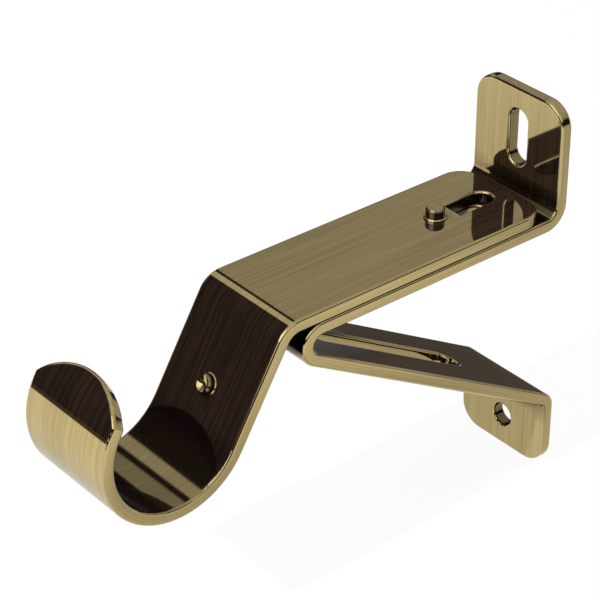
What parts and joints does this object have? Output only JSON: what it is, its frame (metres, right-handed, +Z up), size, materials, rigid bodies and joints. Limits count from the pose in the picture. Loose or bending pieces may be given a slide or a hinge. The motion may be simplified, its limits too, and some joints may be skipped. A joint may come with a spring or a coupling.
{
  "type": "curtain pole bracket",
  "caption": "Folded flat strap bracket that holds a curtain pole out from a wall, with a braced foot, a sliding hooked arm and clamping screws.",
  "frame": {"origin": "centre of the round foot screw hole, on the wall plane", "axes": "+X along the pole, +Y into the wall, +Z up; the bracket reaches out along -Y"},
  "size_m": [0.0254, 0.1183, 0.0885],
  "materials": {
    "strap_brass": "brushed antique brass plating on steel strap",
    "screw_brass": "antique brass plating on steel screws"
  },
  "bodies": {
    "wall_bracket": {"wall_bracket": "strap_brass"},
    "pole_arm": {"pole_arm": "strap_brass"},
    "lock_screw": {"lock_screw": "screw_brass"},
    "pole_screw": {"pole_screw": "screw_brass"}
  },
  "joints": [
    {"name": "arm_slide", "type": "slide", "parent": "wall_bracket", "child": "pole_arm", "axis": [0, -1, 0], "range_m": [0, 0.03]},
    {"name": "lock_screw_travel", "type": "slide", "parent": "pole_arm", "child": "lock_screw", "axis": [0, 0, -1], "range_m": [0, 0.002]},
    {"name": "pole_screw_travel", "type": "slide", "parent": "pole_arm", "child": "pole_screw", "axis": [0, -0.8625, 0.506], "range_m": [-0.0016, 0.0012]}
  ]
}
